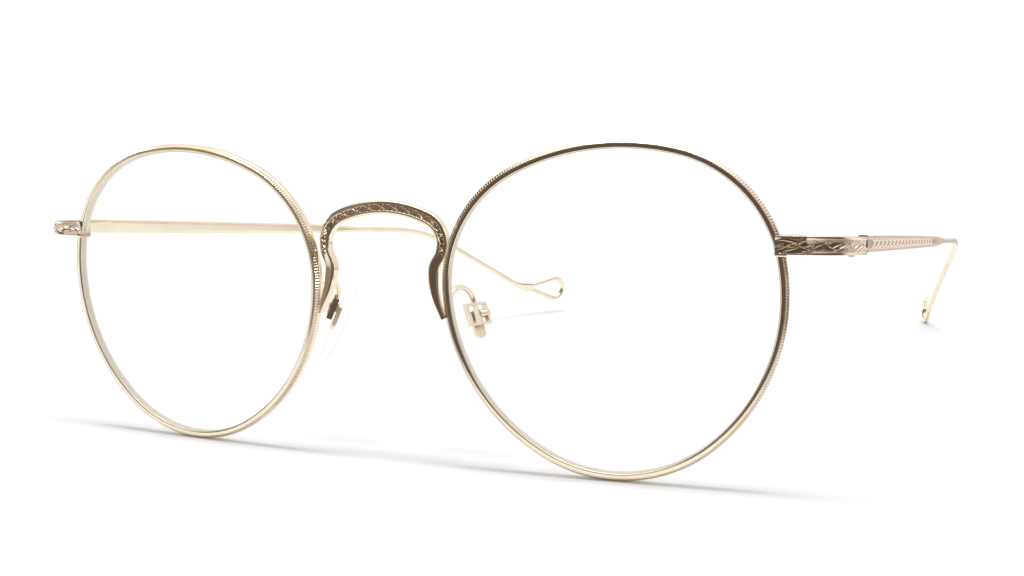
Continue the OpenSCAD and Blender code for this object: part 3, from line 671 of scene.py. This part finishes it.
def curl(x0, y0, radius, first, sweep, shrink=0.6, count=6):
    """Points of a curl that tightens as it turns."""
    spread = np.linspace(0, 1, count)
    radii = radius * (1 - (1 - shrink) * spread)
    angles = np.radians(first + sweep * spread)
    return np.stack([x0 + radii * np.cos(angles), y0 + radii * np.sin(angles)], 1)


sprig_half, sprig_pitch = 0.875, 1.05
sprig_w, sprig_rise = 0.2, 0.11
plain_end = 1.3
sprig_lines = [
    curl(0.0, -0.08, 0.42, 160, -230), curl(0.42, 0.16, 0.3, 200, 170),
    [(-0.5, -0.38), (-0.25, -0.2), (-0.02, 0.06)], [(0.22, -0.38), (0.42, -0.26), (0.62, -0.02)]]
sprig = strokes("sprig", sprig_lines, sprig_w, sprig_rise)
arch_steps = [step for step in range(-BRIDGE_STEPS, BRIDGE_STEPS + 1)
              if abs(step) * bridge_ds < shoulder_end - plain_end]
path, outward, sizes = [], [], []
for step in arch_steps:
    middle, half, front, up, groove = bridge_frame(step)
    path.append(middle + front * (bridge_depth / 2 - groove))
    outward.append(front)
    sizes.append(half / sprig_half)
sprigs = row_along(
    "bridge_sprigs", stood(path), outward, sizes, sprig, sprig_pitch, math.pi, bright_cut)
fit(sprigs, bright_cut, "front", "plated_metal")

# End pieces and closing blocks
# A bar soldered over the rim's upper end sweeps back to the hinge. The block under it holds the rim's
# lower end in a collar, and a screw from below draws the two together over the lens.
end_h, upper_h = 2.5, 1.4
overlay, bar_t = 0.35, 1.3
sweep_depth, sweep_from, sweep_flat = 7.0, 3.0, 3.0
block_len, block_back = 2.9, 0.4
pin_out, pin_back = 8.35, 9.2
knuckle_d, butt_gap = 2.1, 0.05
open_splay, temple_drop = 10.0, 5.15
toe = open_splay + math.degrees(wrap)
end_z = split_z + upper_h - end_h / 2
end_low = end_z - end_h / 2
pin_x = end_at[0] + pin_out
bar_in = knuckle_d / 2 + butt_gap
bar_out = bar_in + bar_t
sweep_c = np.array([end_at[0] + sweep_from, sweep_depth - overlay])
tail_reach = bar_out - (sweep_c[0] - pin_x) * cos(toe) + (sweep_c[1] - pin_back) * sin(toe)
sweep_low = sweep_depth * sin(toe)
sweep_w = (tail_reach ** sweep_flat - sweep_low ** sweep_flat) ** (1 / sweep_flat) / cos(toe)
sweep_end = math.degrees(math.atan((sweep_w * cos(toe) / sweep_low) ** (sweep_flat / 2)))
sweep_power = 2 - 2 / sweep_flat
fall = math.tan(math.radians(temple_drop))
hinge_z = end_z - fall * (pin_back + overlay)
joint_back = rim_depth + block_back
block_from = end_at[0] - rim_w + 0.1
block_end = end_at[0] + block_len
end_groove = 0.1


def from_hinge(u, v):
    return np.array([pin_x + u * cos(toe) + v * sin(toe), pin_back - u * sin(toe) + v * cos(toe)])


def swept(a, inset):
    """Point of the end piece's outer face, seen from above, and inset from it."""
    bend = 2 / sweep_flat
    normal = np.array([sin(a) ** bend / sweep_w, -cos(a) ** bend / sweep_depth])
    place = sweep_c + np.array([sweep_w * sin(a) ** sweep_power, -sweep_depth * cos(a) ** sweep_power])
    return place - inset * normal / np.linalg.norm(normal)


def end_ring(out, inner, low, high, groove, rounding=0.12, **opened):
    """Rounded section between an outer and an inner point, seen from above, that falls with the temple."""
    out, inner = np.array(out), np.array(inner)
    drop = fall * (out[1] + overlay)
    thick = np.linalg.norm(out - inner)
    section, let_in = bar_section(thick / 2, (high - low) / 2, rounding, groove, **opened)
    flat = (out + inner) / 2 + section[:, :1] * (out - inner) / thick
    return np.column_stack([flat, (high + low) / 2 - drop + section[:, 1]]), let_in


def joint_groove(x):
    return end_groove * ease((x - block_from) / 0.4)


joint_xs = np.linspace(block_from, block_end, 10)
end_high = end_low + end_h
stations = [
    end_ring((x, -overlay), (x, joint_back), split_z, end_high, joint_groove(x), 0.04, open_low=True)
    for x in joint_xs]
for share in np.linspace(0, 1, 8):
    x = block_end + solder + (sweep_c[0] - block_end - solder) * share
    inner = joint_back + (bar_t - overlay - joint_back) * ease(share)
    stations.append(end_ring((x, -overlay), (x, inner), end_low, end_high, end_groove))
sweep_line = [(swept(a, 0), swept(a, bar_t)) for a in np.linspace(0, sweep_end, 25)[1:]]
tail_from = (from_hinge(0, 0) - sweep_line[-1][0]) @ np.array([sin(toe), cos(toe)])
tail_steps = np.linspace(tail_from, butt_gap, 8)[1:]
tail_line = [(from_hinge(bar_out, -v), from_hinge(bar_in, -v)) for v in tail_steps]
stations += [end_ring(out, inner, end_low, end_high, end_groove) for out, inner in sweep_line + tail_line]
blocks = [
    end_ring((x, -overlay), (x, joint_back), end_low + 0.03, split_z - split_gap, joint_groove(x), 0.04,
             open_high=True)
    for x in np.linspace(block_from, block_end - solder, 10)]
collar_h, collar_out = 0.3, 0.4
collars = [
    end_ring((x, -overlay), (x, joint_back), end_low - collar_h, end_low + collar_h, 0.0, rounding=0.9)
    for x in np.linspace(block_from, block_from + rim_w + collar_out, 6)]
for name, side in SIDES.items():
    for label, rows, nodes in (
            ("_end_bar", stations, [name + "_end_piece"]),
            ("_closing_bar", blocks, [name + "_closing_block"]), ("_rim_collar", collars, [])):
        rings = [on_front(ring, side) for ring, _ in rows]
        bar = skin(name + label, rings, ground=[let_in for _, let_in in rows])
        fit(bar, pale_gold, "front", "plated_metal", *nodes)
    for node in ("_front_hinge", "_temple_hinge"):
        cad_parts[name + node].data.materials.clear()
        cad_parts[name + node].data.materials.append(pale_gold)

# End piece engraving
# Long running scrolls with leaves, cut along the outer face from the rim, round the corner, to the temple.
face_line = [(x, -overlay) for x in np.linspace(block_from, sweep_c[0], 24)]
face_line = np.array(face_line + [out for out, _ in sweep_line + tail_line])
face_s = np.concatenate([[0], np.cumsum(np.linalg.norm(np.diff(face_line, axis=0), axis=1))])
face_ahead = np.gradient(face_line, axis=0)
face_ahead /= np.linalg.norm(face_ahead, axis=1)[:, None]


def on_end_face(points, side):
    """Lays points of a flat strip (along, up, out of the let-in ground) on the end piece's outer face."""
    along, up, out = np.moveaxis(np.asarray(points, float), -1, 0)
    out = out - end_groove
    px, py, ax, ay = [
        np.interp(along, face_s, values) for values in (*face_line.T, *face_ahead.T)]
    py_out = py - out * ax
    return on_front(np.stack([px + out * ay, py_out, end_z - fall * (py + overlay) + up], -1), side)


scroll_lines = [
    [(-2.6, -0.72), (-1.7, -0.5), (-0.7, -0.05), (0.4, 0.38), (1.6, 0.6), (2.7, 0.5)],
    [(-2.3, 0.55), (-1.3, 0.66), (-0.2, 0.42), (0.8, -0.1), (1.8, -0.5), (2.8, -0.66)],
    [(-1.4, -0.8), (-0.6, -0.66), (0.3, -0.36), (1.0, 0.08)], [(-0.5, 0.82), (0.4, 0.8), (1.3, 0.78)],
    [(0.9, -0.82), (1.5, -0.76), (2.2, -0.5), (2.7, -0.2)], curl(-1.55, 0.12, 0.3, 200, 250),
    [(-0.9, -0.4), (0.1, -0.1), (1.0, 0.4), (1.9, 0.68)], [(-2.7, -0.3), (-2.1, -0.1), (-1.2, 0.35)]]
scroll_w, scroll_rise, scroll_pitch = 0.2, 0.13, 3.5
scroll_from, scroll_short = 2.4, 2.3
for name, side in SIDES.items():
    shape = strokes("scroll", [np.array(line) * (1, side) for line in scroll_lines], scroll_w, scroll_rise)
    strip = np.array([(along, 0, 0) for along in np.linspace(scroll_from, face_s[-1] - scroll_short, 40)])
    upright = np.tile((0, 0, side), (len(strip), 1))
    scrolls = row_along(
        name + "_end_scrolls", strip * MM, upright, np.ones(len(strip)), shape, scroll_pitch, 0.0, bright_cut)
    flat = np.empty(3 * len(scrolls.data.vertices), np.float32)
    scrolls.data.vertices.foreach_get("co", flat)
    laid = on_end_face(flat.reshape(-1, 3) / MM * (1, 1, side), side)
    scrolls.data.vertices.foreach_set("co", laid.astype(np.float32).ravel())
    facing_out(scrolls.data)
    fit(scrolls, bright_cut, "front", "plated_metal")

# Screws
# Small turned steel screws with slotted heads: in the closing blocks, the hinges and the pad boxes.
screw_steel = plated("screw_steel", rgb(0.68, 0.61, 0.53), rgb(0.48, 0.43, 0.38), 0.22, 0.5)
for name in SIDES:
    for node in ("_rim_screw", "_hinge_screw", "_pad_screw"):
        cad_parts[name + node].data.materials.clear()
        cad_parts[name + node].data.materials.append(screw_steel)

# Temples
# A flat blade from the hinge that runs out into round wire, bends down behind the ear and is
# flattened again where the loop is joined.
temple_h, wire_d = 2.4, 1.15
taper_len, fade_len, blade_fall, leaf_len = 56.0, 14.0, 0.5, 6.0
temple_up = 0.28
ear_len, ear_spread, tip_len = 90.5, 24.0, 36.5
ear_drop, ear_inward = 25.5, 17.5
neck_len = 7.0
folds = {"left": 0.0, "right": 28.6}
loop_drops = {"left": 24.0, "right": 7.0}
loop_len, loop_h = 10.5, 6.5
wire_len = ear_len + tip_len
temple_u = bar_in + bar_t / 2
loop_r = (loop_h - wire_d) / 2
loop_split = wire_d / 2 + solder
neck_h = 2 * (loop_split + wire_d / 2 + solder)
temple_groove = 0.12
groove_from, groove_past = 0.6, 1.0


def fade(s):
    return ease((s - taper_len) / fade_len)


def ear(s):
    return ease((s - ear_len) / ear_spread + 0.5)


def neck(s):
    return ease((s - wire_len) / neck_len + 1)


def slope(s, name):
    return (temple_drop + ear_drop * ear(s)) * (1 - neck(s)) + loop_drops[name] * neck(s)


def in_temple(points, name):
    """Points of a temple's own frame (out, back and up from its pin), folded as in the picture."""
    u, v, w = np.moveaxis(np.asarray(points, float), -1, 0)
    c, s = cos(folds[name]), sin(folds[name])
    flat = from_hinge(u * c - v * s, u * s + v * c)
    return on_front(np.stack([flat[0], flat[1], hinge_z + w], -1), SIDES[name])


TEMPLE_STEPS = 254
temple_ds = wire_len / TEMPLE_STEPS


def temple_line(name):
    """Middle points of a temple, from its hinge to its loop."""
    line = [np.array([temple_u, butt_gap, temple_up])]
    for step in range(TEMPLE_STEPS):
        s = (step + 0.5) * temple_ds
        yaw, dip = ear_inward * ear(s), slope(s, name)
        onward = np.array([-sin(yaw) * cos(dip), cos(yaw) * cos(dip), -sin(dip)])
        line.append(line[-1] + temple_ds * onward)
    return line


def temple_shape(step, name):
    """Half width, half height, side, up and groove depth of a temple at a step."""
    s = step * temple_ds
    blade = temple_h - blade_fall * min(s / taper_len, 1.0) ** 2
    half_h = (blade + (wire_d - blade) * fade(s) + (neck_h - wire_d) * neck(s)) / 2
    half_w = (bar_t + (wire_d - bar_t) * fade(s)) / 2
    tip, yaw = slope(s, name) * ease(s / leaf_len), ear_inward * ear(s)
    side = np.array([cos(yaw), sin(yaw), 0])
    up = np.array([-sin(yaw) * sin(tip), cos(yaw) * sin(tip), cos(tip)])
    groove = temple_groove * ease((s - groove_from) / 0.4) * (1 - ease((s - taper_len - groove_past) / 4))
    return half_w, half_h, side, up, groove


for name in SIDES:
    line = temple_line(name)
    rings, grounds = [], []
    for step, middle in enumerate(line):
        half_w, half_h, side, up, groove = temple_shape(step, name)
        s = step * temple_ds
        rounding = 0.25 + 0.67 * fade(s) - 0.2 * neck(s)
        section, let_in = bar_section(half_w, half_h, rounding, groove)
        rings.append(in_temple(middle + section[:, :1] * side + section[:, 1:] * up, name))
        grounds.append(let_in * groove / temple_groove)
    bar = skin(name + "_temple_bar", rings, ground=grounds)
    fit(bar, pale_gold, name + "_temple_arm", "plated_metal", name + "_temple")

# Temple engraving
# A row of long slanted leaf cuts along the outer face, each with a short cut under it, smaller towards
# the wire.
leaf_lines = [
    [(-1.9, -0.66), (-1.1, -0.5), (-0.2, -0.08), (0.6, 0.42), (1.4, 0.66)],
    [(-0.1, -0.66), (0.5, -0.54), (1.1, -0.26)], [(-1.3, 0.64), (-0.8, 0.52), (-0.4, 0.3)]]
leaf_w, leaf_rise, leaf_pitch = 0.42, 0.15, 2.7
leaves_from, leaves_short = 5, 3
leaf_steps = range(int(leaves_from / temple_ds), int((taper_len - leaves_short) / temple_ds))
for name, side in SIDES.items():
    shape = strokes("leaf", [np.array(line) * (1, side) for line in leaf_lines], leaf_w, leaf_rise)
    line = temple_line(name)
    path, outs, sizes = [], [], []
    for step in leaf_steps:
        half_w, half_h, across, up, groove = temple_shape(step, name)
        path.append(line[step] + across * (half_w - groove))
        outs.append(across)
        sizes.append(2 * half_h / temple_h)
    path = np.array(path)
    places = in_temple(path, name)
    outward = (in_temple(path + np.array(outs), name) - places) / MM
    leaves = row_along(
        name + "_temple_leaves", places, outward, sizes, shape, leaf_pitch, 0.0, bright_cut)
    fit(leaves, bright_cut, name + "_temple_arm", "plated_metal")

# Temple loops
# Round wire bent into a flat open teardrop and joined to the neck of the temple.
LOOP_STEPS = 64
loop_c = loop_len - loop_r - wire_d / 2
loop_flare = math.asin(loop_r / math.hypot(loop_c, loop_split)) - math.atan2(loop_split, loop_c)
loop_flare = math.degrees(loop_flare)


def wire_ring(middle, half, side, up, count=20):
    """Round section of a wire."""
    turn = np.radians(360 / count * (np.arange(count) + 0.5))[:, None]
    return np.asarray(middle) + half * (np.cos(turn) * np.asarray(side) + np.sin(turn) * np.asarray(up))


ACROSS = np.array([1.0, 0, 0])
for name in SIDES:
    rings = [wire_ring((0, 0, loop_split), wire_d / 2, ACROSS, (0, 0, 1))]
    for step in range(LOOP_STEPS + 1):
        a = 90 + loop_flare - (180 + 2 * loop_flare) * step / LOOP_STEPS
        out = np.array([0, cos(a), sin(a)])
        rings.append(wire_ring(np.array([0, loop_c, 0]) + loop_r * out, wire_d / 2, ACROSS, out))
    rings.append(wire_ring((0, 0, -loop_split), wire_d / 2, ACROSS, (0, 0, -1)))
    drop = loop_drops[name]
    px, py, pz = np.moveaxis(np.array(rings), -1, 0)
    py = py + solder
    dipped = np.stack([px, py * cos(drop) + pz * sin(drop), pz * cos(drop) - py * sin(drop)], -1)
    px, py, pz = np.moveaxis(dipped, -1, 0)
    yawed = np.stack(
        [px * cos(ear_inward) - py * sin(ear_inward), px * sin(ear_inward) + py * cos(ear_inward), pz], -1)
    loop = skin(name + "_loop_wire", in_temple(yawed + temple_line(name)[-1], name))
    fit(loop, pale_gold, name + "_temple_arm", "plated_metal", name + "_temple_loop")

# Pad arms and boxes
# A thin wire from the back of each rim, bowed up and over, carries a small box with two windows.
pad_out, pad_back, pad_down = 2.35, 6.6, 3.2
pad_splay, pad_lean = 30.0, 24.0
box_len, box_depth = 3.5, 0.9
arm_d, arm_rise, arm_angle = 0.9, 2.6, 185.0
ARM_STEPS = 48
soft_gilt = plated("soft_gilt", rgb(0.95, 0.85, 0.62), rgb(0.80, 0.68, 0.46), 0.32, 0.3)


def rim_place(direction, inset, depth):
    px, pz = rim_point(direction, inset)
    c, s = math.cos(wrap), math.sin(wrap)
    return np.array([lens_spacing / 2 + px * c - depth * s, px * s + depth * c, pz])


nasal = rim_place(180, 0, rim_depth)
box_at = np.array([nasal[0] + pad_out, nasal[1] + pad_back, -pad_down])


def from_pad(a, b, c):
    """Points of a pad's own frame: a up along the pad, b backwards, c towards the nose."""
    px, pz = -c * cos(pad_lean) - a * sin(pad_lean), -c * sin(pad_lean) + a * cos(pad_lean)
    qx, qy = px * cos(pad_splay) + b * sin(pad_splay), b * cos(pad_splay) - px * sin(pad_splay)
    return box_at + np.stack(np.broadcast_arrays(qx, qy, pz), -1)


foot = rim_place(arm_angle, rim_w / 2, rim_depth + solder)
arm_top = from_pad(box_len / 2 + solder, 0, 0)
up_pad = from_pad(1, 0, 0) - box_at
pulls = [foot, foot + np.array([0, arm_rise, arm_rise]), arm_top + arm_rise * up_pad, arm_top]
spans = np.diff(pulls, axis=0)
rings = []
for t in np.linspace(0, 1, ARM_STEPS + 1):
    r = 1 - t
    middle = r ** 3 * pulls[0] + 3 * r * r * t * pulls[1] + 3 * r * t * t * pulls[2] + t ** 3 * pulls[3]
    ahead = r * r * spans[0] + 2 * r * t * spans[1] + t * t * spans[2]
    if t == 0:
        ahead = np.array([-math.sin(wrap), math.cos(wrap), 0])
    ahead = ahead / np.linalg.norm(ahead)
    across = np.cross(ahead, ACROSS)
    across = across / np.linalg.norm(across)
    rings.append(wire_ring(middle, arm_d / 2, across, np.cross(across, ahead), 16))
MIRROR = np.array([-1, 1, 1])
for name, side in SIDES.items():
    placed = np.array(rings) * (MIRROR if side < 0 else 1)
    fit(skin(name + "_arm_wire", stood(placed)), pale_gold, "front", "plated_metal", name + "_pad_arm")
    for node, finish in (("_pad_box", pale_gold), ("_pad_core", soft_gilt)):
        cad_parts[name + node].data.materials.clear()
        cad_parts[name + node].data.materials.append(finish)

# Nose pads
# Clear soft plastic, moulded over a metal core, egg-shaped and crowned on the side of the nose.
pad_len, pad_w, pad_t = 14.0, 7.2, 1.9
pad_drop, pad_shift, pad_space, pad_egg = 1.4, 0.5, 0.55, 0.12
pad_c = box_depth / 2 + pad_space
PAD_STEPS = 64

clear_pad = bpy.data.materials.new("clear_pad")
clear_pad.use_nodes = True
clear_pad.node_tree.nodes.clear()
soft = Shade(clear_pad.node_tree)
place = soft.node("ShaderNodeTexCoord", out="Object")
cloud = soft.node("ShaderNodeTexNoise", values={"Vector": place, "Scale": 420.0, "Detail": 3.0})
seen_edge_on = soft.node("ShaderNodeLayerWeight", values={"Blend": 0.4}, out="Facing")
bump = soft.node("ShaderNodeBump", values={"Strength": 0.15, "Distance": 0.00006, "Height": cloud})
# Where the pad is seen edge-on it turns grey and less clear. This is a painted dark outline standing in for
# the refraction at its edge.
surface = soft.node("ShaderNodeBsdfPrincipled", values={
    "Base Color": (seen_edge_on ** 2).mixed(rgb(0.97, 0.97, 0.95), rgb(0.5, 0.51, 0.52)), "Normal": bump,
    "Roughness": 0.08 + 0.1 * cloud, "Alpha": 0.04 + 0.03 * cloud + 0.5 * seen_edge_on ** 4})
soft.node("ShaderNodeOutputMaterial", values={"Surface": surface})

pad_profile = [
    (0.04, 0.0), (0.4, 0.0), (0.8, 0.0), (0.88, 0.02), (0.95, 0.1), (0.99, 0.25), (1, 0.42), (0.98, 0.56),
    (0.93, 0.7), (0.84, 0.83), (0.7, 0.92), (0.45, 0.985), (0.2, 1.0), (0.04, 1.0)]
for name, side in SIDES.items():
    rings = []
    for share, depth in pad_profile:
        turn = np.arange(PAD_STEPS) * 360 / PAD_STEPS
        egg = 1 - pad_egg * np.sin(np.radians(turn))
        rings.append(from_pad(
            share * pad_len / 2 * np.sin(np.radians(turn)) - pad_drop,
            share * egg * pad_w / 2 * np.cos(np.radians(turn)) - pad_shift,
            np.full(PAD_STEPS, pad_c + depth * pad_t)))
    placed = np.array(rings) * (MIRROR if side < 0 else 1)
    mould = skin(name + "_pad_mould", stood(placed))
    fit(mould, clear_pad, name + "_pad", "clear_pad", name + "_nose_pad")
